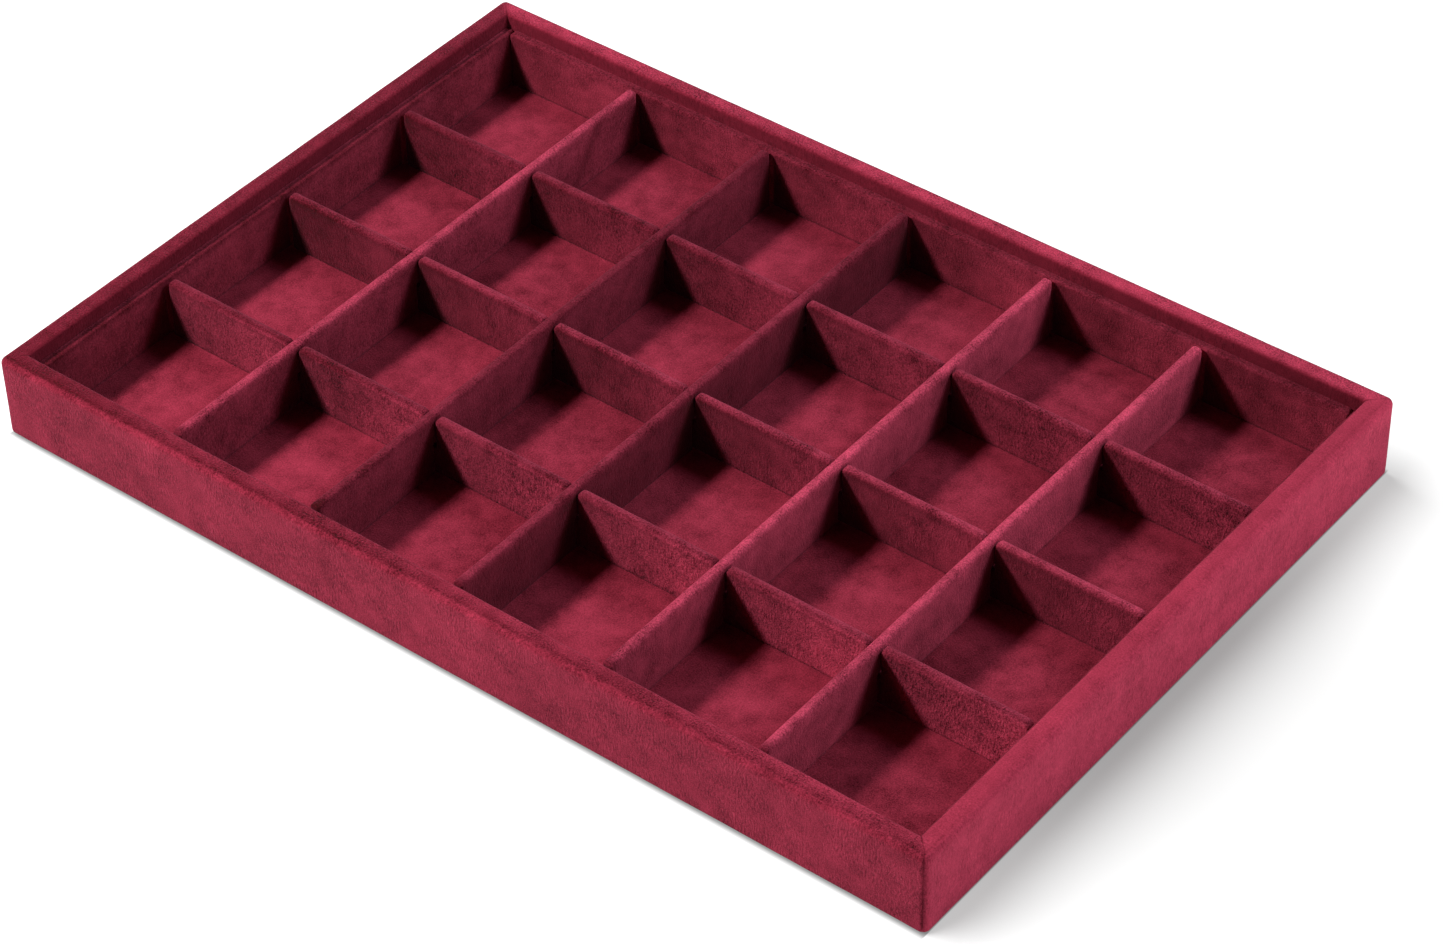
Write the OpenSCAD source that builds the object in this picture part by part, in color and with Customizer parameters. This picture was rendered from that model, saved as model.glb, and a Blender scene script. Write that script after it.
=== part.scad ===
// Velvet-covered display tray with a grid of square cells for small jewellery.
// Four boards stand on a base board. One piece of velvet is glued round the outside of
// them, over the rim and down the inside, and its lower edge is turned in under the base.
// Four lining strips stand inside, round a grid of dividers halved together at each crossing.
// The origin is the middle of the underside, +X runs along the length and +Z points up.

/* [Tray] */
// Outside length of the tray
tray_length = 350; // [280:1:420]
// Outside width of the tray
tray_width = 240; // [180:1:300]
// Height from the table to the top of the rim
tray_height = 30; // [26:0.5:45]

/* [Boards] */
// Thickness of the four wall boards
wall_board_t = 5.5; // [3.5:0.25:9]
// Thickness of the base board
base_board_t = 2; // [1.5:0.25:5]

/* [Velvet] */
// Thickness of the velvet with its pile
velvet_t = 0.75; // [0.5:0.05:1]
// Radius of the rim's outer edge and of the upright corners
rim_outer_r = 2.4; // [2:0.1:3.2]
// Radius of the rim's inner edge
rim_inner_r = 1.2; // [1.1:0.1:2.8]
// Radius of the edge round the foot
foot_r = 1.9; // [1.2:0.1:2.3]
// Width of velvet turned in under the base
turn_under = 14; // [10:0.5:25]

/* [Backing] */
// Thickness of the sheet that covers the underside
backing_t = 0.5; // [0.3:0.05:1]
// Distance from the outside of the tray to the edge of that sheet
backing_inset = 4; // [3:0.5:8]

/* [Lining] */
// Thickness of a lining strip
lining_t = 3; // [2.5:0.25:5]
// Depth of the lining's top below the rim
lining_drop = 5; // [4.5:0.5:9]
// Radius of the lining's top edges
lining_edge_r = 1; // [0.6:0.1:1.2]
// Gap at each end of the two long lining strips
lining_gap = 0.3; // [0.1:0.05:0.5]

/* [Dividers] */
// Number of cells along the length
columns = 6; // [2:1:8]
// Number of cells across the width
rows = 4; // [2:1:6]
// Thickness of a divider
divider_t = 3.5; // [3:0.25:5]
// Depth of the cross dividers' tops below the rim
divider_drop = 4; // [3:0.5:7]
// Depth of the long dividers' tops below the cross dividers' tops
long_drop = 0.6; // [0:0.1:1.5]
// Radius of a divider's top edges
divider_edge_r = 1.5; // [0.8:0.1:1.5]
// Radius of a divider's upper corners, at its ends and at the mouths of its slots
divider_corner_r = 2; // [1:0.1:3]
// Gap on each side of a divider in its slot, and between two slots' ends
slot_gap = 0.3; // [0.1:0.05:0.6]
// Gap at each end of a divider, with the grid in the middle of the tray
grid_play = 0.8; // [0.4:0.1:1.5]
// Share of that gap by which the loose grid has slid towards +X
grid_slide = 0.6; // [0:0.05:0.8]

/* [Hidden] */
$fn = 64;
velvet_colour = [0.56, 0.15, 0.24];
board_colour = [0.72, 0.58, 0.42];
backing_colour = [0.30, 0.07, 0.12];

// Levels, from the table up
wrap_z = backing_t;
base_z = wrap_z + velvet_t;
floor_z = base_z + base_board_t;
cell_z = floor_z + velvet_t;

// Space between the covered walls, between the bare wall boards, and between the linings
wall_t = wall_board_t + 2 * velvet_t;
inside_l = tray_length - 2 * wall_t;
inside_w = tray_width - 2 * wall_t;
between_l = inside_l + 2 * velvet_t;
between_w = inside_w + 2 * velvet_t;
cells_l = inside_l - 2 * lining_t;
cells_w = inside_w - 2 * lining_t;

// Heights above the floor velvet
lining_h = tray_height - lining_drop - cell_z;
cross_h = tray_height - divider_drop - cell_z;
long_h = cross_h - long_drop;
lap_h = long_h / 2;

// The grid
slot_w = divider_t + 2 * slot_gap;
pitch_x = (cells_l + divider_t) / columns;
pitch_y = (cells_w + divider_t) / rows;
grid_x = grid_slide * grid_play;

// How far a cutting shape runs past the face that it cuts
past = 1;

// Quarter of a disc, in the positive quadrant
module quarter_disc(r) {
    intersection() {
        circle(r);
        square(r);
    }
}

// Outer edge of a block in section: round at the top, with a smaller round at the foot
module edge_section(h, top_r, bottom_r) {
    translate([0, h - top_r]) quarter_disc(top_r);
    translate([0, bottom_r]) square([top_r, h - top_r - bottom_r]);
    square([top_r - bottom_r, bottom_r]);
    translate([top_r - bottom_r, bottom_r]) mirror([0, 1]) quarter_disc(bottom_r);
}

// What is cut from a square edge to round it over, with that edge's side face at x = 0
module round_over(r) {
    difference() {
        square([r, r + past]);
        translate([r, 0]) circle(r);
    }
}

// A section run round a rectangle: straight along its sides and turned about its corners
module around(l, w) {
    for (turn = [0, 180]) {
        rotate(turn) translate([l / 2, 0]) rotate([90, 0, 0]) linear_extrude(w, center = true) children();
        rotate(turn + 90) translate([w / 2, 0]) rotate([90, 0, 0]) linear_extrude(l, center = true) children();
        rotate(turn) translate([l / 2, w / 2]) rotate_extrude(angle = 90) children();
        rotate(turn + 90) translate([w / 2, l / 2]) rotate_extrude(angle = 90) children();
    }
}

// Box centred in plan that stands on z = 0
module plan_box(l, w, h) {
    translate([-l / 2, -w / 2, 0]) cube([l, w, h]);
}

// Block with round upright corners and rounded edges at the top and the foot
module soft_block(l, w, h, top_r, bottom_r) {
    field_l = l - 2 * top_r;
    field_w = w - 2 * top_r;
    plan_box(field_l, field_w, h);
    around(field_l, field_w) edge_section(h, top_r, bottom_r);
}

// The hollow of the tray from z = 0 up, with the rounding of the rim's inner edge at height h
module hollow(l, w, h, r) {
    plan_box(l, w, h + past);
    around(l, w) translate([0, h - r]) round_over(r);
}

// All five boards as one shape
module boards() {
    difference() {
        translate([0, 0, base_z]) soft_block(
            tray_length - 2 * velvet_t,
            tray_width - 2 * velvet_t,
            tray_height - velvet_t - base_z,
            rim_outer_r - velvet_t,
            foot_r - velvet_t
        );
        translate([0, 0, floor_z]) hollow(
            between_l,
            between_w,
            tray_height - velvet_t - floor_z,
            rim_inner_r - velvet_t
        );
    }
}

// Panel under the four wall boards
module base_board() {
    color(board_colour) intersection() {
        boards();
        plan_box(tray_length, tray_width, floor_z);
    }
}

// The part of the boards above the base board that lies between these corners in plan
module wall_between(x0, y0, x1, y1) {
    color(board_colour) intersection() {
        boards();
        translate([x0, y0, floor_z]) cube([x1 - x0, y1 - y0, tray_height]);
    }
}

module front_wall_board() {
    wall_between(-tray_length / 2, -tray_width / 2, tray_length / 2, -between_w / 2);
}

module back_wall_board() {
    wall_between(-tray_length / 2, between_w / 2, tray_length / 2, tray_width / 2);
}

// The side boards fit between the front and back boards
module left_wall_board() {
    wall_between(-tray_length / 2, -between_w / 2, -between_l / 2, between_w / 2);
}

module right_wall_board() {
    wall_between(between_l / 2, -between_w / 2, tray_length / 2, between_w / 2);
}

// Velvet glued over the boards, open under the base where it doesn't reach
module velvet_wrap() {
    color(velvet_colour) difference() {
        translate([0, 0, wrap_z]) soft_block(
            tray_length,
            tray_width,
            tray_height - wrap_z,
            rim_outer_r,
            foot_r
        );
        boards();
        translate([0, 0, floor_z]) hollow(inside_l, inside_w, tray_height - floor_z, rim_inner_r);
        plan_box(tray_length - 2 * turn_under, tray_width - 2 * turn_under, base_z);
    }
}

// Sheet over the turned edge of the velvet, stepped up to the base board inside it
module backing_sheet() {
    window_l = tray_length - 2 * turn_under;
    window_w = tray_width - 2 * turn_under;
    color(backing_colour) difference() {
        union() {
            plan_box(tray_length - 2 * backing_inset, tray_width - 2 * backing_inset, backing_t);
            plan_box(window_l, window_w, base_z);
        }
        translate([0, 0, -past])
            plan_box(window_l - 2 * backing_t, window_w - 2 * backing_t, past + velvet_t);
    }
}

// Velvet glued to the base board, from wall to wall
module floor_velvet() {
    color(velvet_colour) translate([0, 0, floor_z]) plan_box(inside_l, inside_w, velvet_t);
}

// Outline that stands on the x axis, with its two upper corners rounded
module round_topped(w, h, r) {
    translate([-w / 2, 0]) square([w, h - r]);
    translate([-w / 2 + r, 0]) square([w - 2 * r, h]);
    for (side = [-1, 1]) translate([side * (w / 2 - r), h - r]) circle(r);
}

// Velvet-covered strip along X that stands on the floor velvet
module covered_strip(l, h, t, edge_r, corner_r) {
    translate([0, 0, cell_z]) intersection() {
        rotate([90, 0, 90]) linear_extrude(l, center = true) round_topped(t, h, edge_r);
        rotate([90, 0, 0]) linear_extrude(t, center = true) round_topped(l, h, corner_r);
    }
}

// Lining strip along X, of the length given
module lining(l) {
    color(velvet_colour) covered_strip(l, lining_h, lining_t, lining_edge_r, lining_edge_r);
}

module front_lining() {
    translate([0, -(cells_w + lining_t) / 2, 0]) lining(cells_l - 2 * lining_gap);
}

module back_lining() {
    translate([0, (cells_w + lining_t) / 2, 0]) lining(cells_l - 2 * lining_gap);
}

module left_lining() {
    translate([-(cells_l + lining_t) / 2, 0, 0]) rotate(90) lining(inside_w);
}

module right_lining() {
    translate([(cells_l + lining_t) / 2, 0, 0]) rotate(90) lining(inside_w);
}

// Divider from front to back, slotted from below. The first is the leftmost.
module cross_divider(number) {
    color(velvet_colour) translate([grid_x + (number - columns / 2) * pitch_x, 0, 0]) difference() {
        rotate(90) covered_strip(
            cells_w - 2 * grid_play, cross_h, divider_t, divider_edge_r, divider_corner_r
        );
        for (crossing = [1:rows - 1])
            translate([0, (crossing - rows / 2) * pitch_y, 0])
                plan_box(divider_t + 2 * past, slot_w, cell_z + lap_h + slot_gap / 2);
    }
}

// Slot cut down from the top of a long divider, with its mouth rounded over
module top_slot() {
    translate([0, 0, cell_z]) rotate([90, 0, 0]) linear_extrude(divider_t + 2 * past, center = true) {
        translate([-slot_w / 2, lap_h - slot_gap / 2]) square([slot_w, long_h]);
        for (side = [0, 1]) mirror([side, 0])
            translate([slot_w / 2, long_h - divider_corner_r]) round_over(divider_corner_r);
    }
}

// Divider along the tray, slotted from above. The first is the one nearest the front.
module long_divider(number) {
    color(velvet_colour) translate([grid_x, (number - rows / 2) * pitch_y, 0]) difference() {
        covered_strip(cells_l - 2 * grid_play, long_h, divider_t, divider_edge_r, divider_corner_r);
        for (crossing = [1:columns - 1])
            translate([(crossing - columns / 2) * pitch_x, 0, 0]) top_slot();
    }
}

base_board();
front_wall_board();
back_wall_board();
left_wall_board();
right_wall_board();
velvet_wrap();
backing_sheet();
floor_velvet();
front_lining();
back_lining();
left_lining();
right_lining();
for (i = [1:columns - 1])
    cross_divider(i);
for (i = [1:rows - 1])
    long_divider(i);
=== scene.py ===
import math

import bpy
import numpy as np
from mathutils import Matrix, Vector


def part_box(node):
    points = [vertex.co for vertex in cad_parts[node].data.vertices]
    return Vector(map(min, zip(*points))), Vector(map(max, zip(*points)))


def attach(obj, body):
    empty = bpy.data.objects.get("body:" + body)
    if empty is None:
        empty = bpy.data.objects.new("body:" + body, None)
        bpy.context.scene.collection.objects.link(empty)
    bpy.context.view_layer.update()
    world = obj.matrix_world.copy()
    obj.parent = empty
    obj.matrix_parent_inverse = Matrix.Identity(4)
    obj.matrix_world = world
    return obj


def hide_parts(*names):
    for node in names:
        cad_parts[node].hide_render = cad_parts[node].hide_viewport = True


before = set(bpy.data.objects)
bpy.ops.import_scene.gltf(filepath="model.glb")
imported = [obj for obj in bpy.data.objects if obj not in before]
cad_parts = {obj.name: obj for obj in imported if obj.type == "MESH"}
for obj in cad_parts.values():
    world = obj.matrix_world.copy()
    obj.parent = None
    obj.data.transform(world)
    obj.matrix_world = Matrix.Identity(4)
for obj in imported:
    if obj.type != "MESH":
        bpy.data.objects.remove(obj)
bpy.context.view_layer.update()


# Boards of brown fibreboard, glued edge to face. The front and back walls stand along the base
# panel, and the side walls fit between them. The velvet hides them all once the tray is covered.
def add(tree, kind, inputs=None, **settings):
    """One node of a tree, with its settings, and the values or links that go into it."""
    node = tree.nodes.new(kind)
    for name, value in settings.items():
        setattr(node, name, value)
    for name, value in (inputs or {}).items():
        if isinstance(value, bpy.types.NodeSocket):
            tree.links.new(value, node.inputs[name])
        else:
            node.inputs[name].default_value = value
    return node


def bare_material(name, roughness, specular):
    """A material, its tree, its shader and the object's own coordinates."""
    material = bpy.data.materials.new(name)
    material.use_nodes = True
    tree = material.node_tree
    shader = tree.nodes["Principled BSDF"]
    shader.inputs["Roughness"].default_value = roughness
    shader.inputs["Specular IOR Level"].default_value = specular
    return material, tree, shader, add(tree, "ShaderNodeTexCoord").outputs["Object"]


def fibreboard():
    material, tree, shader, place = bare_material("fibreboard", 0.85, 0.2)
    fibres = add(tree, "ShaderNodeTexNoise", {"Vector": place, "Scale": 900, "Detail": 5})
    shade = add(tree, "ShaderNodeValToRGB", {"Fac": fibres.outputs["Fac"]})
    shade.color_ramp.elements[0].color = (0.30, 0.18, 0.09, 1)
    shade.color_ramp.elements[1].color = (0.52, 0.35, 0.19, 1)
    dents = add(
        tree,
        "ShaderNodeBump",
        {"Height": fibres.outputs["Fac"], "Strength": 0.4, "Distance": 0.0002},
    )
    tree.links.new(shade.outputs["Color"], shader.inputs["Base Color"])
    tree.links.new(dents.outputs["Normal"], shader.inputs["Normal"])
    return material


boards = ["base_board", "front_wall_board", "back_wall_board", "left_wall_board", "right_wall_board"]
board_finish = fibreboard()
for board in boards:
    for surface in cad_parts[board].material_slots:
        surface.material = board_finish


# One strip of short-pile velvet, glued round the outside of the walls, over the rim and down to the
# base panel inside, with its lower edge turned in under the base. Its two ends meet in an upright
# seam at the front right corner. Pile raised from the backing makes its surface slightly uneven.
# Pile that lies dark loses more of its green and blue than of its red, down to a deepest tone.
shadow_tint = (0.0, 0.006, 0.008)
deepest_tone = (0.012, 0.002, 0.003)


def maths(tree, operation, *inputs, **settings):
    """What a maths node gives for these inputs."""
    node = add(tree, "ShaderNodeMath", dict(enumerate(inputs)), operation=operation, **settings)
    return node.outputs["Value"]


def vector_maths(tree, operation, *inputs):
    """What a vector maths node gives for these inputs."""
    node = add(tree, "ShaderNodeVectorMath", dict(enumerate(inputs)), operation=operation)
    return node.outputs["Value" if operation == "LENGTH" else "Vector"]


def scaled(tree, vector, share):
    """A vector or a colour times a share."""
    node = add(tree, "ShaderNodeVectorMath", {0: vector, "Scale": share}, operation="SCALE")
    return node.outputs["Vector"]


def velvet(name, tone, streaks, mottle):
    """Velvet of this colour, with pile that is brushed in soft patches and combed upright."""
    material, tree, shader, place = bare_material(name, 0.95, 0.1)
    shader.inputs["Sheen Weight"].default_value = 0.15
    shader.inputs["Sheen Roughness"].default_value = 0.5
    shader.inputs["Sheen Tint"].default_value = (1.0, 0.25, 0.4, 1)
    combed = add(tree, "ShaderNodeMapping", {"Vector": place, "Scale": (1, 1, 0.42)})
    noises = {}
    for label, vector, scale, detail in (
        ("grain", place, 2300, 2),
        ("ribs", combed.outputs["Vector"], 1500, 2),
        ("brushing", place, 75, 2),
        ("patches", place, 170, 3),
        ("clouds", place, 30, 1),
    ):
        noise = add(tree, "ShaderNodeTexNoise", {"Vector": vector, "Scale": scale, "Detail": detail})
        noises[label] = maths(tree, "SUBTRACT", noise.outputs["Fac"], 0.5)
    open_pile = maths(tree, "MULTIPLY_ADD", noises["brushing"], 4.0, 0.9, use_clamp=True)
    noises["ribs"] = maths(tree, "MULTIPLY", noises["ribs"], open_pile)
    clearness = add(tree, "ShaderNodeAttribute", attribute_name="clearness").outputs["Fac"]

    def mixed(shares, start):
        """A constant plus shares of the noises, as clear as the pile is there."""
        total = 0.0
        for label, share in shares.items():
            total = maths(tree, "MULTIPLY_ADD", noises[label], share, total)
        return maths(tree, "MULTIPLY_ADD", total, clearness, start)

    evenness = mixed(
        {"grain": 1.8, "ribs": streaks, "patches": 0.75 * mottle, "clouds": 0.5 * mottle}, 1.0
    )
    # How light the pile is painted at each point: its lay together with painted light and shade.
    lay_and_painted_light = add(tree, "ShaderNodeAttribute", attribute_name="pile_and_painted_light").outputs["Fac"]
    light = maths(tree, "MULTIPLY", evenness, lay_and_painted_light)
    full = scaled(tree, np.add(tone, shadow_tint).tolist(), light)
    cooled = vector_maths(tree, "SUBTRACT", full, shadow_tint)
    colour = vector_maths(tree, "MAXIMUM", cooled, deepest_tone)
    relief = mixed({"grain": 0.9, "ribs": 0.6 + streaks, "patches": 0.5 * mottle}, 0.0)
    pile = add(tree, "ShaderNodeBump", {"Height": relief, "Strength": 0.6, "Distance": 0.0004})
    tree.links.new(colour, shader.inputs["Base Color"])
    tree.links.new(pile.outputs["Normal"], shader.inputs["Normal"])
    return material


def raised_pile():
    """Geometry nodes that lift a cloth's surface unevenly along its normals, as pile on glue does."""
    tree = bpy.data.node_groups.new("raised_pile", "GeometryNodeTree")
    sockets = {}
    for name, kind in (
        ("Geometry", "NodeSocketGeometry"),
        ("Fine relief", "NodeSocketFloat"),
        ("Fine size", "NodeSocketFloat"),
        ("Broad relief", "NodeSocketFloat"),
        ("Broad size", "NodeSocketFloat"),
        ("Seed", "NodeSocketFloat"),
        ("Finish", "NodeSocketMaterial"),
    ):
        sockets[name] = tree.interface.new_socket(name, in_out="INPUT", socket_type=kind).identifier
    tree.interface.new_socket("Geometry", in_out="OUTPUT", socket_type="NodeSocketGeometry")
    given = add(tree, "NodeGroupInput").outputs
    place = add(tree, "GeometryNodeInputPosition").outputs["Position"]
    lift = 0.0
    for label in ("Fine", "Broad"):
        scale = maths(tree, "DIVIDE", 1.0, given[label + " size"])
        noise = add(
            tree,
            "ShaderNodeTexNoise",
            {"Vector": place, "W": given["Seed"], "Scale": scale, "Detail": 1},
            noise_dimensions="4D",
        )
        centred = maths(tree, "MULTIPLY_ADD", noise.outputs["Fac"], 2.0, -1.0)
        lift = maths(tree, "MULTIPLY_ADD", centred, given[label + " relief"], lift)
    offset = scaled(tree, add(tree, "GeometryNodeInputNormal").outputs["Normal"], lift)
    moved = add(tree, "GeometryNodeSetPosition", {"Geometry": given["Geometry"], "Offset": offset})
    smooth = add(tree, "GeometryNodeSetShadeSmooth", {"Geometry": moved.outputs["Geometry"]})
    real = add(tree, "GeometryNodeRealizeInstances", {"Geometry": smooth.outputs["Geometry"]})
    finished = add(
        tree,
        "GeometryNodeSetMaterial",
        {"Geometry": real.outputs["Geometry"], "Material": given["Finish"]},
    )
    add(tree, "NodeGroupOutput", {"Geometry": finished.outputs["Geometry"]})
    return tree, sockets


pile_tree, pile_sockets = raised_pile()


def cloth_piece(name, points, faces, pile_and_painted_light, finish, seed, fine, broad, thickness=0.0, clearness=1.0):
    """A piece of cloth, made from its outer side: merged, with its pile raised and as thick as given.
    The lightness given for each point is the lay of its pile together with painted light and shade, and
    clearness is how clearly single tufts show."""
    mesh = bpy.data.meshes.new(name)
    mesh.from_pydata(np.asarray(points).tolist(), [], faces)
    for label, values in (("pile_and_painted_light", pile_and_painted_light), ("clearness", clearness)):
        values = np.broadcast_to(np.ravel(values), len(points)).astype(float)
        mesh.attributes.new(label, "FLOAT", "POINT").data.foreach_set("value", values)
    blank = bpy.data.objects.new(name + "_blank", mesh)
    bpy.context.scene.collection.objects.link(blank)
    weld = blank.modifiers.new("weld", "WELD")
    weld.merge_threshold = 0.000001
    pile = blank.modifiers.new("pile", "NODES")
    pile.node_group = pile_tree
    for label, value in (
        ("Fine relief", fine[0]),
        ("Fine size", fine[1]),
        ("Broad relief", broad[0]),
        ("Broad size", broad[1]),
        ("Seed", float(seed)),
        ("Finish", finish),
    ):
        pile[pile_sockets[label]] = value
    if thickness:
        solid = blank.modifiers.new("thickness", "SOLIDIFY")
        solid.thickness = thickness
        solid.offset = -1
        solid.use_even_offset = True
    shown = bpy.context.evaluated_depsgraph_get()
    plain = bpy.data.meshes.new_from_object(
        blank.evaluated_get(shown), preserve_all_data_layers=True, depsgraph=shown
    )
    plain.name = name
    bpy.data.objects.remove(blank)
    piece = bpy.data.objects.new(name, plain)
    bpy.context.scene.collection.objects.link(piece)
    return piece


def steps(stops, spacing):
    """Places from the first stop to the last, through every stop and at most spacing apart."""
    places = [stops[0]]
    for start, end in zip(stops, stops[1:]):
        count = max(1, math.ceil((end - start) / spacing - 0.001))
        places += [start + (end - start) * k / count for k in range(1, count + 1)]
    return places


def bump_at(distance, width):
    """A soft bell that is 1 where the distance is 0."""
    return np.exp(-((np.asarray(distance) / width) ** 2))


def eased(values, start, end):
    """0 before the start, 1 past the end and a smooth rise between them."""
    share = np.clip((values - start) / (end - start), 0, 1)
    return share * share * (3 - 2 * share)


def grid_faces(rows, columns):
    """Quads of a grid of points that are listed row by row."""
    index = np.arange(rows * columns).reshape(rows, columns)
    corners = (index[:-1, :-1], index[:-1, 1:], index[1:, 1:], index[1:, :-1])
    return np.stack([corner.ravel() for corner in corners], axis=1).tolist()


wrap_low, wrap_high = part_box("velvet_wrap")
floor_low, floor_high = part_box("floor_velvet")
wall_depth = floor_low.x - wrap_low.x
velvet_thickness = 0.00072
rim_outer_radius = 0.0024
rim_inner_radius = 0.0012
foot_radius = 0.0012
turned_under = 0.014
inner_corner_radius = 0.0005
corner_blend = 0.0012
mid_height = 0.02
behind_linings = 0.022
station_spacing = 0.0018
seam_angle = math.radians(-62)
seam_width = 0.00032
seam_depth = 0.00028
corner_inset = 0.004
crease_depth = 0.00018
wrap_tone = (0.248, 0.0175, 0.039)


def arc(centre, radius, start, end, count):
    """Points of an arc in a section, from a start to an end angle in degrees."""
    angles = np.radians(np.linspace(start, end, count + 1))
    return [(centre[0] - radius * math.cos(a), centre[1] + radius * math.sin(a)) for a in angles]


def wrap_section():
    """The wrap in section: depth from the outer face and height, from the inside to the turned edge."""
    top, foot = wrap_high.z, wrap_low.z
    inside = wall_depth - rim_inner_radius
    section = [(wall_depth, z) for z in steps([floor_low.z, behind_linings], 0.003)[:-1]]
    wall = steps([behind_linings, top - rim_inner_radius], 0.0012)
    section += [(wall_depth, z) for z in wall[:-1]]
    section += arc((inside, top - rim_inner_radius), rim_inner_radius, 180, 90, 8)
    section += [(d, top) for d in reversed(steps([rim_outer_radius, inside], 0.0004)[1:-1])]
    section += arc((rim_outer_radius, top - rim_outer_radius), rim_outer_radius, 90, 0, 8)
    face = steps([foot + foot_radius, top - rim_outer_radius], 0.0016)
    section += [(0.0, z) for z in reversed(face[1:-1])]
    section += arc((foot_radius, foot + foot_radius), foot_radius, 0, -90, 6)
    section += [(d, foot) for d in steps([foot_radius, turned_under], 0.002)[1:]]
    return section


def wrap_stations():
    """Stations round the tray, each a side number, a share of its length and a turn at its corner."""
    stations = []
    side_lengths = [2 * wrap_high.y, 2 * wrap_high.x] * 2
    for side, length in enumerate(side_lengths):
        start = seam_angle if side == 0 else math.radians(-90)
        stations += [(side, 0.0, turn) for turn in np.linspace(start, 0, 9)[:-1]]
        stations += [(side, share, 0.0) for share in steps([0.0, 1.0], station_spacing / length)]
    return stations + [(4, 0.0, turn) for turn in np.linspace(math.radians(-90), seam_angle, 6)[1:]]


def wrap_point(depth, station):
    """Plan point at this depth from the outer face, at a station round the tray."""
    side, share, angle = station
    radius = max(rim_outer_radius - depth, inner_corner_radius)
    half = np.array([wrap_high.x - depth - radius, wrap_high.y - depth - radius])
    corners = np.array([[1, -1], [1, 1], [-1, 1], [-1, -1]]) * half
    first, second = corners[side % 4], corners[(side + 1) % 4]
    turn = math.radians(90) * side + angle
    return first + (second - first) * share + radius * np.array([math.cos(turn), math.sin(turn)])


def tray_sides(x, y, depth):
    """How far each point of the wrap belongs to each side of the tray, blended at the corners."""
    past_face = {
        "front": -y - wrap_high.y,
        "back": y - wrap_high.y,
        "left": -x - wrap_high.x,
        "right": x - wrap_high.x,
    }
    shares = {
        side: np.clip(1 + (past + depth) / corner_blend, 0, 1) for side, past in past_face.items()
    }
    total = np.maximum(sum(shares.values()), 1e-9)
    return {side: share / total for side, share in shares.items()}


def pile_and_painted_light_by_side(x, y, depth, height, over, sides):
    """How light the wrap is painted on each side: the pile's lay there together with painted light and
    shade.
    A side's row gives its outer face, its rim, the rim's inner edge as a share of the rim, a painted
    highlight on the front and right, its inner wall, which is painted shade, where the rim starts to
    turn into that wall, the place along the side, and how much lighter the outer face and the rim get
    along it, a painted fall-off of the light."""
    along_x, along_y = x / wrap_high.x, y / wrap_high.y
    inward = (depth - 0.004) + (wrap_high.z - height)
    pile_and_painted_light = 0.0
    for side, face_level, rim_level, edge_share, wall_level, turn_start, along, face_slope, rim_slope in (
        ("front", 1.13, 0.68, 1.3, 0.8, 0.0026, along_x, 0.1, 0.42),
        ("back", 1.0, 1.66, 0.95, 0.65, 0.0005, along_x, 0.0, 0.0),
        ("left", 1.0, 0.64, 0.95, 0.5, 0.0005, along_y, 0.0, 0.15),
        ("right", 1.66, 1.48, 1.06, 0.8, 0.0028, along_y, 0.12, 0.0),
    ):
        rim = rim_level * (1 + (edge_share - 1) * eased(depth, 0.0025, 0.0062))
        turned = eased(inward, turn_start, 0.0045)
        wall = wall_level * (1 - 0.2 * eased(x, 0.02, 0.16) * (side == "back"))
        face = face_level * (1 + face_slope * along)
        rim = rim * (1 + rim_slope * along) * (1 - turned) + wall * turned
        pile_and_painted_light = pile_and_painted_light + sides[side] * (face * (1 - over) + rim * over)
    return pile_and_painted_light


def rim_crease(y, depth, over, sides):
    """1 along the crease where the velvet turns over the front rim and the ends of the right one."""
    crease = bump_at(depth - 0.0021, 0.0005) * over
    corner_end = 0.45 + 0.55 * bump_at(y + wrap_high.y, 0.015)
    return crease * (sides["front"] + corner_end * sides["right"])


def painted_mitre_shade(stations, depth, over):
    """How much painted shade darkens the rim's corners, where the velvet is folded into a mitre."""
    turning = np.array([turn for _, _, turn in stations])[None, :]
    mitre = bump_at(turning + math.radians(45), math.radians(24)) * (turning < 0)
    return (0.15 + 0.45 * eased(depth, 0.0035, 0.0065)) * mitre * over


def upright_seam(stations, height):
    """1 along the seam where the two ends of the wrap meet, and less under the foot."""
    outer = np.array([wrap_point(0.0, station) for station in stations])
    along = np.zeros(len(stations))
    along[1:] = np.cumsum(np.linalg.norm(np.diff(outer, axis=0), axis=1))
    seam = bump_at(along, seam_width) + bump_at(along[-1] - along, seam_width)
    return seam[None, :] * np.where(height > wrap_low.z + foot_radius, 1.0, 0.3)


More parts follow.
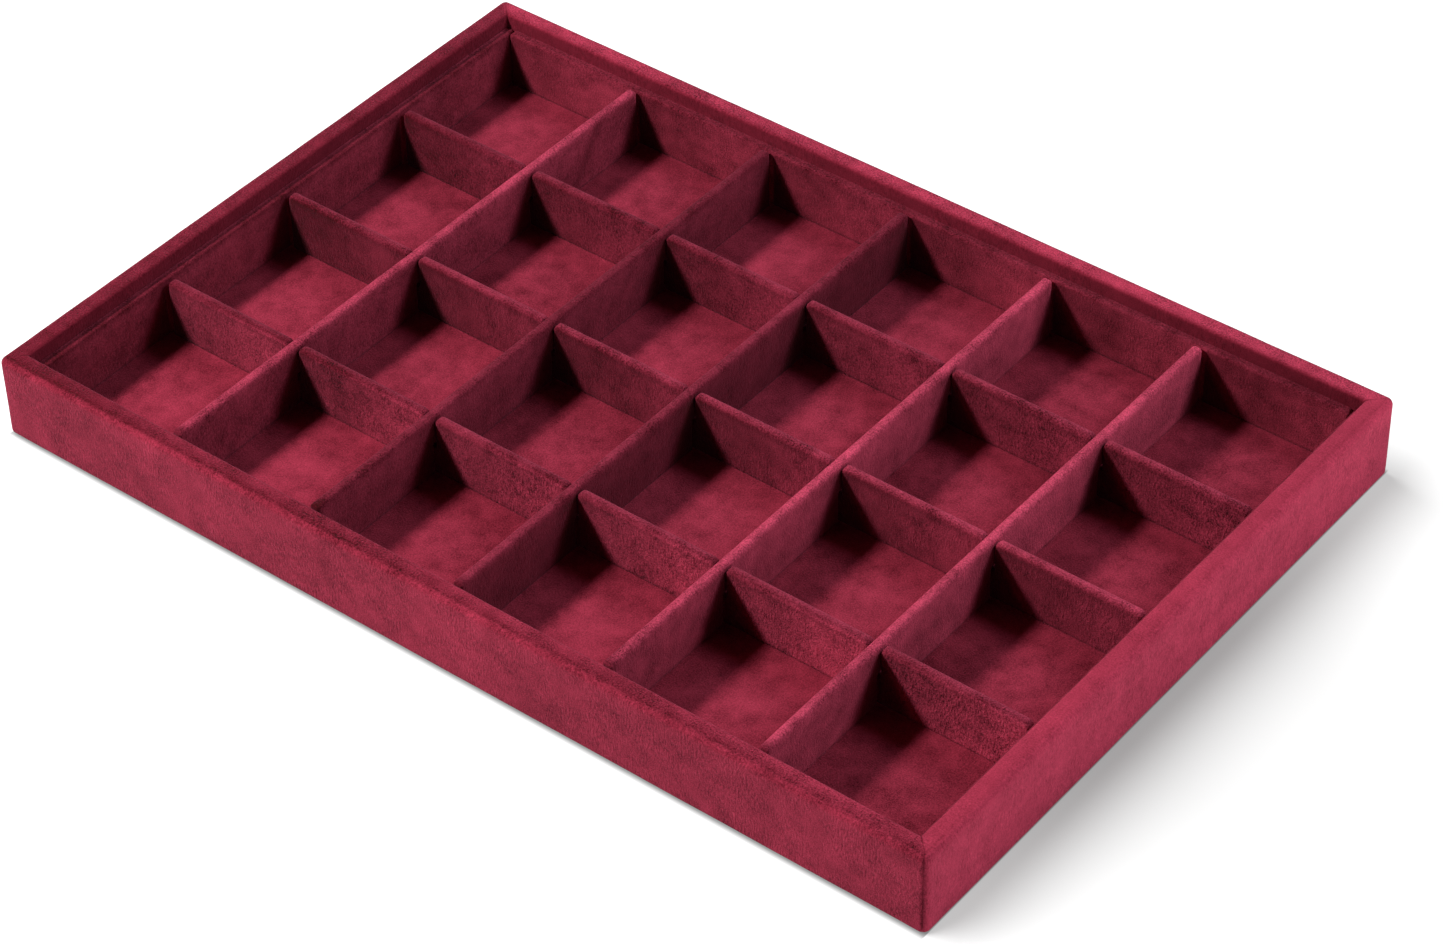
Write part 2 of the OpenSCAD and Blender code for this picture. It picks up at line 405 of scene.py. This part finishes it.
def velvet_wrap():
    """The wrap's pile side, in rows round the tray from its inner foot to its turned edge."""
    section = wrap_section()
    stations = wrap_stations()
    points = np.array(
        [[(*wrap_point(depth, station), height) for station in stations] for depth, height in section]
    )
    depth, height = np.array(section).T[:, :, None]
    x, y = points[..., 0], points[..., 1]
    upper = height > mid_height
    over = eased(depth, 0.0005, 0.0019) * upper
    sides = tray_sides(x, y, depth)
    crease = rim_crease(y, depth, over, sides)
    seam = upright_seam(stations, height)

    # Painted shade along the crease over the front rim, where the velvet is also sunk a little.
    painted_crease_shade = 0.15 + 0.07 * np.sin(310 * x) + 0.07 * np.sin(730 * x + 1)
    seam_shade = 0.5 + 0.25 * bump_at(height - 0.004, 0.003)
    # Painted light and shade on each side of the wrap, with the lay of its pile there.
    pile_and_painted_light = pile_and_painted_light_by_side(x, y, depth, height, over, sides)
    pile_and_painted_light = pile_and_painted_light * (1 - painted_crease_shade * crease)
    pile_and_painted_light = pile_and_painted_light * (1 - painted_mitre_shade(stations, depth, over))
    pile_and_painted_light = pile_and_painted_light * (1 - seam_shade * seam)
    inner = eased(depth, 0.0055, 0.0070)
    clearness = 1 - 0.42 * sides["right"] + (0.3 - 0.65 * inner) * (1 - sides["right"]) * over

    sunk = seam_depth * seam * np.where(depth < 0.003, 1.0, 0.4)
    corner_middle = np.array([wrap_high.x - corner_inset, -wrap_high.y + corner_inset])
    inwards = corner_middle - points[..., :2]
    inwards /= np.maximum(np.linalg.norm(inwards, axis=-1, keepdims=True), 1e-9)
    upright = (depth < rim_outer_radius).astype(float)
    points[..., :2] += inwards * (sunk * upright)[..., None]
    points[..., 2] -= crease_depth * crease + sunk * (1 - upright) * upper
    faces = [face[::-1] for face in grid_faces(len(section), len(stations))]
    return points.reshape(-1, 3), faces, pile_and_painted_light, clearness


points, faces, pile_and_painted_light, clearness = velvet_wrap()
wrap = cloth_piece(
    "velvet_wrap_cloth",
    points,
    faces,
    pile_and_painted_light,
    velvet("wrap_velvet", wrap_tone, 1.6, 1.4),
    seed=1,
    fine=(0.00004, 0.004),
    broad=(0.00012, 0.025),
    thickness=velvet_thickness,
    clearness=clearness,
)
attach(wrap, "root")
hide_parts("velvet_wrap")


# A sheet of thin felt, glued over the turned edge of the velvet. It is what the tray stands on, and
# inside that edge it is pressed up against the base panel, so a shallow step runs round it.
def felt():
    material, tree, shader, place = bare_material("backing_felt", 0.95, 0.1)
    hairs = add(tree, "ShaderNodeTexNoise", {"Vector": place, "Scale": 1500, "Detail": 4})
    shade = add(tree, "ShaderNodeValToRGB", {"Fac": hairs.outputs["Fac"]})
    shade.color_ramp.elements[0].position = 0.3
    shade.color_ramp.elements[0].color = (0.055, 0.006, 0.012, 1)
    shade.color_ramp.elements[1].position = 0.7
    shade.color_ramp.elements[1].color = (0.095, 0.011, 0.022, 1)
    matted = add(
        tree,
        "ShaderNodeBump",
        {"Height": hairs.outputs["Fac"], "Strength": 0.5, "Distance": 0.0002},
    )
    tree.links.new(shade.outputs["Color"], shader.inputs["Base Color"])
    tree.links.new(matted.outputs["Normal"], shader.inputs["Normal"])
    return material


backing_low, backing_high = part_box("backing_sheet")
backing_thickness = 0.0005
lifted_edge = 0.00018
off_table = 0.00004
step_in = turned_under + wrap_low.x - backing_low.x
step_start, step_end = step_in - 0.001, step_in + 0.0006
step_height = backing_high.z - backing_low.z - backing_thickness


def backing_sheet():
    """The felt from below: flat along its edge, then stepped up. Its rows run from back to front."""
    xs = np.array(steps([backing_low.x, backing_high.x], 0.003))
    ys = np.array(steps([backing_low.y, backing_high.y], 0.003))
    extra = np.array([0.0005, 0.0012, step_start, step_in - 0.0004, step_in, step_end])
    xs = np.unique(np.concatenate([xs, xs[0] + extra, xs[-1] - extra]).round(6))
    ys = np.unique(np.concatenate([ys, ys[0] + extra, ys[-1] - extra]).round(6))[::-1]
    x, y = np.meshgrid(xs, ys)
    inward = np.minimum(backing_high.x - np.abs(x), backing_high.y - np.abs(y))
    rise = eased(inward, step_start, step_end)
    z = backing_low.z + off_table + step_height * rise
    z += lifted_edge * bump_at(inward, 0.0007)
    return np.stack([x, y, z], axis=-1).reshape(-1, 3), grid_faces(len(ys), len(xs))


points, faces = backing_sheet()
backing = cloth_piece(
    "backing_felt_sheet",
    points,
    faces,
    np.ones(len(points)),
    felt(),
    seed=2,
    fine=(0.00002, 0.004),
    broad=(0.00002, 0.03),
    thickness=backing_thickness * 0.9,
)
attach(backing, "root")
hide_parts("backing_sheet")


# Velvet glued to the base panel from wall to wall, laid before the linings and dividers. It is the
# floor of every cell, with its pile brushed in soft patches, and painted shade in each cell's back
# left corner beside the strips.
floor_tone = (0.246, 0.0190, 0.0405)
corner_shade_length, corner_shade_width = 0.013, 0.009
cross_parts = sorted(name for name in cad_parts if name.startswith("cross_divider_"))
long_parts = sorted(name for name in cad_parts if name.startswith("long_divider_"))
cross_middles = [sum(corner.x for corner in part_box(part)) / 2 for part in cross_parts]
long_middles = [sum(corner.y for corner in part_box(part)) / 2 for part in long_parts]
divider_low, divider_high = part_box(long_parts[0])
divider_thickness = divider_high.y - divider_low.y


def past_last(places, middles, thickness):
    """How far each place is past the face of the strip before it."""
    faces = np.array([-1.0, *(np.array(middles) + thickness / 2)])
    return places - faces[np.searchsorted(faces, places) - 1]


def floor_velvet():
    """The floor's pile side, in rows from front to back, and its lightness, with painted shade in each
    cell's back left corner.
    """
    xs = steps([floor_low.x, floor_high.x], 0.0020)
    ys = steps([floor_low.y, floor_high.y], 0.0020)
    x, y = np.meshgrid(xs, ys)
    z = np.full_like(x, floor_high.z)
    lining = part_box("left_lining")[1].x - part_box("left_lining")[0].x
    lefts = [floor_low.x + lining / 2, *cross_middles]
    backs = [-floor_high.y + lining / 2, *(-np.array(long_middles[::-1]))]
    from_left = past_last(x, lefts, divider_thickness)
    from_back = past_last(-y, backs, divider_thickness)
    # Painted shade in the back left corner of each cell.
    corner = np.exp(-((from_left / corner_shade_length) ** 2) - (from_back / corner_shade_width) ** 2)
    points = np.stack([x, y, z], axis=-1).reshape(-1, 3)
    return points, grid_faces(len(ys), len(xs)), 1 - 0.5 * corner


points, faces, pile_and_painted_light = floor_velvet()
floor_cloth = cloth_piece(
    "floor_velvet_cloth",
    points,
    faces,
    pile_and_painted_light,
    velvet("floor_velvet", floor_tone, 0.3, 1.6),
    seed=3,
    fine=(0.00003, 0.005),
    broad=(0.00006, 0.02),
    thickness=velvet_thickness,
)
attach(floor_cloth, "root")
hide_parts("floor_velvet")


# Four strips of card covered with velvet, stood inside the walls on the floor velvet. The side strips
# run from wall to wall, and the front and back strips fit between them. Their tops are rounded over
# towards the cells, and nearly square where they are pressed against the walls.
quarter_circle = 1 - np.cos(np.radians(np.linspace(0, 90, 6)))
foot_rounding = 0.0004


def rounded_in(radius, distance):
    """How far a face rounded to this radius has drawn in, at a distance from its edge."""
    rest = np.clip(radius - distance, 0, radius)
    return radius - np.sqrt(np.maximum(radius * radius - rest * rest, 0))


def strip_columns(edges, corner_radius):
    """Places along a strip, closer together at the rounded corners of each stretch between slots."""
    rounding = corner_radius * quarter_circle
    columns = []
    for start, end in zip(edges[::2], edges[1::2]):
        columns += steps([*(start + rounding), *(end - rounding)[::-1]], 0.0012)
    return np.array(columns)


def strip_rows(height, edge_radius, corner_radius, slot_end):
    """Heights of a strip's rows, closer together at its foot and at its rounded top. The last two
    are at the same height, so that the top is flat between its rounded edges."""
    stops = [0.0, 0.00012, 0.0004, 0.0012, height - corner_radius]
    if slot_end:
        stops.append(slot_end)
    rows = np.array(sorted({round(row, 6) for row in steps(sorted(stops), 0.0015)}))
    upper = height - edge_radius * quarter_circle[::-1]
    upper = upper[upper > height - corner_radius + 0.00001]
    return np.concatenate([rows, upper, upper[-1:]])


def strip_faces(columns, rows, slots, slot_width, slot_end, slot_from):
    """Quads of a strip's two sides, which its slots leave open, and of the edge that joins them."""
    middle = (columns[:-1] + columns[1:]) / 2
    wide = columns[1:] - columns[:-1] > 1e-9
    in_slot = np.zeros(len(middle), bool)
    for place in slots:
        in_slot |= np.abs(middle - place) < slot_width / 2
    band = (rows[:-1] + rows[1:]) / 2
    gone_rows = band > slot_end if slot_from == "top" else band < slot_end
    kept = wide[None, :] & ~(in_slot[None, :] & gone_rows[:, None])

    count = len(rows) * len(columns)
    index = np.arange(count).reshape(len(rows), len(columns))
    quads = np.stack(
        [index[:-1, :-1][kept], index[:-1, 1:][kept], index[1:, 1:][kept], index[1:, :-1][kept]], axis=1
    )
    sides = np.concatenate([quads[:, [k, (k + 1) % 4]] for k in range(4)])
    _, first, uses = np.unique(np.sort(sides, axis=1), axis=0, return_index=True, return_counts=True)
    rim = sides[first[uses == 1]]
    joined = np.stack([rim[:, 1], rim[:, 0], rim[:, 0] + count, rim[:, 1] + count], axis=1)
    return quads.tolist() + (quads[:, ::-1] + count).tolist() + joined.tolist()


def covered_strip(length, height, thickness, edge_radius, corner_radius, end_radius, slots=(), cut=None):
    """A covered strip along X that stands on z = 0: its points, quads and distance from the edge.
    slots are the middles of its slots, and cut is their width, their end and "top" or "bottom"."""
    slot_width, slot_end, slot_from = cut or (0.0, 0.0, None)
    slot_edges = [middle + side * slot_width / 2 for middle in slots for side in (-1, 1)]
    edges = sorted([-length / 2, length / 2, *slot_edges])
    columns = strip_columns(edges, corner_radius)
    rows = strip_rows(height, edge_radius, corner_radius, slot_end)

    x = np.repeat(columns[None, :], len(rows), axis=0)
    z = np.repeat(rows[:, None], len(columns), axis=1)
    from_end = np.min([np.abs(columns - edge) for edge in (edges[0], edges[-1])], axis=0)
    from_slot = np.full(len(columns), 1.0)
    for edge in slot_edges:
        from_slot = np.minimum(from_slot, np.abs(columns - edge))
    mouth = np.minimum(from_end, from_slot) if slot_from == "top" else from_end
    shoulder = height - corner_radius
    reach = np.sqrt(np.maximum(corner_radius**2 - np.clip(corner_radius - mouth, 0, None) ** 2, 0))
    z = np.where(z > shoulder, shoulder + (z - shoulder) * reach[None, :] / corner_radius, z)

    if slot_from == "top":
        cut_rows = z >= slot_end - 0.000001
    else:
        cut_rows = z <= slot_end + 0.000001
    open_side = np.minimum(from_end[None, :], np.where(cut_rows, from_slot[None, :], 1.0))
    turn = np.arctan2(np.maximum(z - shoulder, 0), np.maximum(corner_radius - mouth[None, :], 1e-9))
    in_corner = (z > shoulder) & (mouth[None, :] < corner_radius)
    to_corner = corner_radius - np.hypot(corner_radius - mouth[None, :], z - shoulder)
    to_top = height - z
    edge_distance = np.where(in_corner, to_corner, np.minimum(open_side, to_top))
    radius = end_radius + (edge_radius - end_radius) * np.sin(turn) ** 2
    drawn_in = np.where(
        in_corner,
        rounded_in(radius, edge_distance),
        np.maximum(rounded_in(edge_radius, to_top), rounded_in(end_radius, open_side)),
    )
    drawn_in = np.maximum(drawn_in, rounded_in(foot_rounding, z))
    y = thickness / 2 - drawn_in
    y[-1] *= 1 - 0.7 * np.clip(mouth / corner_radius, 0, 1)

    own_white_painted_shade = np.stack([x, -y, z], axis=-1).reshape(-1, 3)
    far = np.stack([x, y, z], axis=-1).reshape(-1, 3)
    faces = strip_faces(columns, rows, slots, slot_width, slot_end, slot_from)
    return np.concatenate([own_white_painted_shade, far]), faces, np.tile(edge_distance.ravel(), 2)


def painted_bay_shade(points, below_top, crosswise):
    """How much painted shade darkens the stroked side of a strip in each bay: more towards the back or
    the left, and most in the upright corner there, up to a slanting line where a painted shadow ends."""
    if crosswise:
        backs = -np.array([*long_middles, floor_high.y])[::-1]
        from_back = past_last(-points[:, 1], backs, divider_thickness)
        bay_shade = 0.5 + 0.55 * eased(from_back, 0.0, 0.015)
        return bay_shade * (0.45 + 0.55 * eased(from_back - 0.6 * below_top, -0.004, 0.002))
    lefts = [floor_low.x, *cross_middles]
    from_left = past_last(points[:, 0], lefts, divider_thickness)
    bay_shade = 0.5 + 0.25 * eased(from_left, 0.0, 0.012) + 0.45 * eased(from_left, 0.015, 0.045)
    return bay_shade * (0.3 + 0.7 * eased(from_left - 0.68 * below_top, -0.004, -0.0005))


def place_strip(name, low, high, shape, pile_and_light_levels, finish, seed, top_shading=(0.0, 0.0, 0.001), mark=None):
    """Stands a covered strip in the box of its part, turned to the box's longer side. Its three levels
    are how light its top and its front or right side, which is the stroked one, are painted, from the
    pile's lay and painted light and shade, and how much lighter it is painted at the right or the back.
    The shading across its top is painted shade: how much darker the top gets from one place across it
    to another. mark is a darker band on its stroked side: its place at the top, its slant, its width and
    how much darker it is."""
    top_level, side_level, slope = pile_and_light_levels
    points, faces, distance = shape
    high_up = points[:, 2] > (high.z - low.z) * 0.8
    stroked = points[:, 1] < 0
    crosswise = high.y - low.y > high.x - low.x
    fade = np.where(stroked & crosswise, 0.0022, 0.0010)
    # Where the top is painted lighter than the side, that is a painted highlight along it.
    crest = high_up * (1 - eased(distance, 0.0002, fade))
    # Painted shade across the top, darker from one place across it to another.
    top_shade_share, top_shade_start, top_shade_end = top_shading
    top_shade = 1 - top_shade_share * eased(-points[:, 1], top_shade_start, top_shade_end)
    # Painted shade along the foot, where the strip meets the floor.
    foot = bump_at(points[:, 2], 0.0006)
    below_top = high.z - low.z - points[:, 2]
    if crosswise:
        points = np.stack([-points[:, 1], points[:, 0], points[:, 2]], axis=1)
    middle = (low + high) / 2
    points = points + np.array([middle.x, middle.y, low.z])
    if crosswise:
        place = points[:, 1] / wrap_high.y
        # Painted shade at the front end of a cross divider's top.
        top_shade = top_shade * (0.45 + 0.55 * eased(points[:, 1] - low.y, 0.001, 0.005))
    else:
        place = points[:, 0] / wrap_high.x
    bay_shade = painted_bay_shade(points, below_top, crosswise) * (1 + slope * place)
    side = np.where(stroked, side_level * bay_shade, 1.0)
    if mark:
        place_at_top, slant, width, darker = mark
        across = points[:, 1] - (place_at_top - slant * below_top)
        side = side * (1 - darker * stroked * bump_at(across, width))
    # A darker line just below the rounded top, and the painted shade at the foot.
    side = side * (1 - 0.2 * high_up * bump_at(distance - 0.0018, 0.0006)) * (1 - 0.5 * foot)
    pile_and_painted_light = side + (top_level * top_shade * (1 + slope * place) - side) * crest
    clearness = np.where(stroked & (not crosswise), 1.3, 1.0) + 0.25 * crest
    return cloth_piece(
        name,
        points,
        faces,
        pile_and_painted_light,
        finish,
        seed,
        fine=(0.00003, 0.003),
        broad=(0.00007, 0.018),
        clearness=clearness,
    )


lining_edge_radius = 0.0010
lining_end_radius = 0.0006
wall_edge_radius = 0.0002
flat_top_from = 0.0003
crown_half_width = 0.0003
lining_finish = velvet("lining_velvet", (0.239, 0.0208, 0.0425), 0.9, 1.45)
# How light each lining is painted, from its pile's lay and painted light: the left one's top has a
# painted highlight along the wall and is darker away from it, and its stroked side is darker in a band
# at its front end.
front_end_band = (floor_low.y + 0.002, 0.0, 0.008, 0.45)
for seed, (part, wall_side, pile_and_light_levels, top_shade_share, mark) in enumerate(
    (
        ("front_lining", -1, (0.9, 1.0, 0.0), 0.0, None),
        ("back_lining", 1, (0.88, 0.93, -0.06), 0.2, None),
        ("left_lining", 1, (1.4, 0.94, 0.12), 0.64, front_end_band),
        ("right_lining", -1, (0.9, 1.0, 0.0), 0.0, None),
    ),
    start=10,
):
    low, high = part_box(part)
    size = high - low
    length, thickness = max(size.x, size.y), min(size.x, size.y)
    points, faces, distance = covered_strip(
        length, size.z, thickness, lining_edge_radius, lining_edge_radius, lining_end_radius
    )
    against_wall = points[:, 1] * wall_side > 0
    below_top = size.z - points[:, 2]
    flat_side = thickness / 2 - rounded_in(wall_edge_radius, below_top)
    round_side = thickness / 2 - rounded_in(lining_edge_radius, below_top)
    crown = against_wall & (below_top < 0.000001) & (np.abs(points[:, 1]) < crown_half_width)
    points[against_wall, 1] *= (flat_side / round_side)[against_wall]
    points[crown, 1] = wall_side * (thickness / 2 - flat_top_from)
    shape = (points, faces, distance)
    top_shading = (top_shade_share, -0.0014, -0.0003)
    strip = place_strip(
        part + "_strip", low, high, shape, pile_and_light_levels, lining_finish, seed, top_shading, mark
    )
    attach(strip, "root")
    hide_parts(part)


# Five cross dividers of covered card, slotted from below at each crossing so that their tops run
# unbroken from front to back. How light each is painted depends on the way its pile was last stroked,
# together with painted light and shade, and a hand has left a darker stroke on the first.
divider_edge_radius = 0.0015
divider_corner_radius = 0.0020
divider_end_radius = 0.0009
slot_clearance = 0.0003
divider_finish = velvet("divider_velvet", (0.239, 0.0208, 0.0442), 0.9, 1.45)
lap = (divider_high.z - divider_low.z) / 2
slot_width = divider_thickness + 2 * slot_clearance
cross_corner_radius = 0.0013
cross_pile_and_light = [
    (1.58, 1.02, 0.1),
    (0.61, 0.74, -0.12),
    (0.77, 0.47, -0.1),
    (1.88, 1.33, 0.1),
    (1.86, 1.58, 0.08),
]
hand_stroke = (long_middles[-1] + 0.0348, 0.73, 0.0034, 0.4)
for seed, (part, pile_and_light_levels) in enumerate(zip(cross_parts, cross_pile_and_light), start=20):
    low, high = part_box(part)
    shape = covered_strip(
        high.y - low.y,
        high.z - low.z,
        high.x - low.x,
        divider_edge_radius,
        cross_corner_radius,
        divider_end_radius,
        [middle - (low.y + high.y) / 2 for middle in long_middles],
        (slot_width, lap + slot_clearance / 2, "bottom"),
    )
    mark = hand_stroke if part == cross_parts[0] else None
    strip = place_strip(part + "_strip", low, high, shape, pile_and_light_levels, divider_finish, seed, mark=mark)
    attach(strip, "root")
    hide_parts(part)


# Three long dividers of the same covered card, slotted from above and pushed up under the cross
# dividers. Each stretch between two slots ends in a small rounded corner.
# How light each long divider's top and stroked side are painted: the lay of its pile together with
# painted light, lighter towards the right.
long_pile_and_light = [(0.89, 1.33, 0.3), (1.23, 0.74, 0.35), (0.99, 0.83, 0.4)]
long_top_shading = (0.28, -0.0013, 0.0014)
for seed, (part, pile_and_light_levels) in enumerate(zip(long_parts, long_pile_and_light), start=30):
    low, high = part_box(part)
    shape = covered_strip(
        high.x - low.x,
        high.z - low.z,
        high.y - low.y,
        divider_edge_radius,
        divider_corner_radius,
        divider_end_radius,
        [middle - (low.x + high.x) / 2 for middle in cross_middles],
        (slot_width, lap - slot_clearance / 2, "top"),
    )
    strip = place_strip(part + "_strip", low, high, shape, pile_and_light_levels, divider_finish, seed, long_top_shading)
    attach(strip, "root")
    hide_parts(part)


# The table that the tray is shown on: plain, white and wide enough to fill every view. To the camera
# it has a white of its own, with a painted shadow in it: lower beside the tray and in a line round its
# foot. The rest of its light comes from a lamp, and the tray's shadow is where that is kept off.
half_table = 4.0
table_grey = (0.15, 0.15, 0.15)
foot_overhang = 0.0006


def seen_directly(tree):
    """1 for what the camera sees, also in a gloss or through glass, and 0 for light on the object."""
    path = add(tree, "ShaderNodeLightPath").outputs
    seen = maths(tree, "ADD", path["Is Camera Ray"], path["Is Glossy Ray"])
    return maths(tree, "ADD", seen, path["Is Transmission Ray"], use_clamp=True)


def white_table():
    material = bpy.data.materials.new("white_table")
    material.use_nodes = True
    tree = material.node_tree
    tree.nodes.clear()

    def risen(value, start, end, low, high):
        """A smooth rise from a low to a high value, between two places."""
        inputs = {"Value": value, "From Min": start, "From Max": end, "To Min": low, "To Max": high}
        rise = add(tree, "ShaderNodeMapRange", inputs, interpolation_type="SMOOTHSTEP")
        return rise.outputs["Result"]

    place = add(tree, "ShaderNodeTexCoord").outputs["Object"]
    plan = vector_maths(tree, "ABSOLUTE", place)
    foot = (wrap_high.x - foot_overhang, wrap_high.y - foot_overhang, 1.0)
    outside = vector_maths(tree, "SUBTRACT", plan, foot)
    outside = vector_maths(tree, "MAXIMUM", outside, (0, 0, 0))
    outside = vector_maths(tree, "MULTIPLY", outside, (6, 1, 0))
    # Painted contact shadow: both the table's colour and its own white are lower in a line round the
    # tray's foot.
    clear_of_painted_shadow = risen(vector_maths(tree, "LENGTH", outside), 0.0, 0.0024, 0.42, 1.0)
    along = add(tree, "ShaderNodeSeparateXYZ", {"Vector": plan}).outputs["Y"]
    # Painted shadow: the table's own white is lower in the band level with the tray than in front of and
    # behind it.
    own_white_painted_shade = risen(along, 0.02, 0.125, 0.355, 0.54)
    far = risen(vector_maths(tree, "LENGTH", plan), 0.6, 1.6, 0.0, 0.46)

    matt = add(tree, "ShaderNodeBsdfDiffuse", {"Color": scaled(tree, table_grey, clear_of_painted_shadow)})
    own = maths(tree, "ADD", own_white_painted_shade, far)
    for share in (clear_of_painted_shadow, seen_directly(tree)):
        own = maths(tree, "MULTIPLY", own, share)
    glow = add(tree, "ShaderNodeEmission", {"Strength": own})
    both = add(tree, "ShaderNodeAddShader", {0: matt.outputs["BSDF"], 1: glow.outputs["Emission"]})
    add(tree, "ShaderNodeOutputMaterial", {"Surface": both.outputs["Shader"]})
    return material


table_mesh = bpy.data.meshes.new("table")
table_mesh.from_pydata(
    [(x * half_table, y * half_table, 0.0) for x, y in ((-1, -1), (1, -1), (1, 1), (-1, 1))],
    [],
    [(0, 1, 2, 3)],
)
table_mesh.materials.append(white_table())
table = bpy.data.objects.new("table", table_mesh)
bpy.context.scene.collection.objects.link(table)


# The light on the tray: a small softbox close by at the front left, which makes the clear shade lines
# in the cells, a large cool one at the back right and a low one on the right, which fill the faces
# that are turned away from it. A very large one lights the table alone, for its soft shadow.
def softbox(name, place, size, power, colour):
    """A round softbox that is aimed at the middle of the tray."""
    data = bpy.data.lights.new(name, "AREA")
    data.shape = "DISK"
    data.size = size
    data.energy = power
    data.color = colour
    lamp = bpy.data.objects.new(name, data)
    lamp.location = place
    lamp.rotation_euler = (-Vector(place)).to_track_quat("-Z", "Y").to_euler()
    bpy.context.scene.collection.objects.link(lamp)
    return lamp


key_lamp = softbox("key_lamp", (-0.466, -0.45, 0.68), 0.15, 9.1, (1.0, 0.95, 0.94))
fill_lamp = softbox("fill_lamp", (0.72, 0.55, 0.85), 0.45, 8.4, (0.82, 0.98, 1.0))
side_lamp = softbox("side_lamp", (1.2, -0.05, 0.14), 0.4, 4.0, (0.95, 0.98, 1.0))
table_lamp = softbox("table_lamp", (-1.6, -0.8, 2.2), 3.6, 820.0, (1.0, 1.0, 1.0))
for lamp, state in (
    (key_lamp, "EXCLUDE"),
    (fill_lamp, "EXCLUDE"),
    (side_lamp, "EXCLUDE"),
    (table_lamp, "INCLUDE"),
):
    lit = bpy.data.collections.new(lamp.name + "_reach")
    lit.objects.link(table)
    lit.collection_objects[0].light_linking.link_state = state
    lamp.light_linking.receiver_collection = lit
    lamp.visible_camera = False

world = bpy.data.worlds.new("studio")
bpy.context.scene.world = world
world.use_nodes = True
ambient = 0.01
seen = seen_directly(world.node_tree)
brightness = maths(world.node_tree, "MULTIPLY_ADD", seen, 1 - ambient, ambient)
background = world.node_tree.nodes["Background"]
background.inputs["Color"].default_value = (1, 1, 1, 1)
world.node_tree.links.new(brightness, background.inputs["Strength"])
bpy.context.scene.view_settings.view_transform = "Standard"


# The camera looks down on the front right corner, turned slightly on its own axis. Its place and its
# lens were fitted to the tray's outline and the crossings of its dividers.
camera_azimuth = math.radians(38.69)
camera_elevation = math.radians(41.07)
camera_roll = math.radians(-1.10)
camera_distance = 1.2823
camera_target = Vector((0.01307, -0.00163, 0.0))
back = Vector(
    (
        math.sin(camera_azimuth) * math.cos(camera_elevation),
        -math.cos(camera_azimuth) * math.cos(camera_elevation),
        math.sin(camera_elevation),
    )
)
level = Vector((math.cos(camera_azimuth), math.sin(camera_azimuth), 0))
upward = back.cross(level)
right = level * math.cos(camera_roll) + upward * math.sin(camera_roll)
up = upward * math.cos(camera_roll) - level * math.sin(camera_roll)
camera_data = bpy.data.cameras.new("camera")
camera_data.lens = 104.56
camera_data.sensor_width = 36
camera = bpy.data.objects.new("camera", camera_data)
camera.matrix_world = Matrix.Translation(camera_target + back * camera_distance) @ (
    Matrix((right, up, back)).transposed().to_4x4()
)
bpy.context.scene.collection.objects.link(camera)
bpy.context.scene.camera = camera
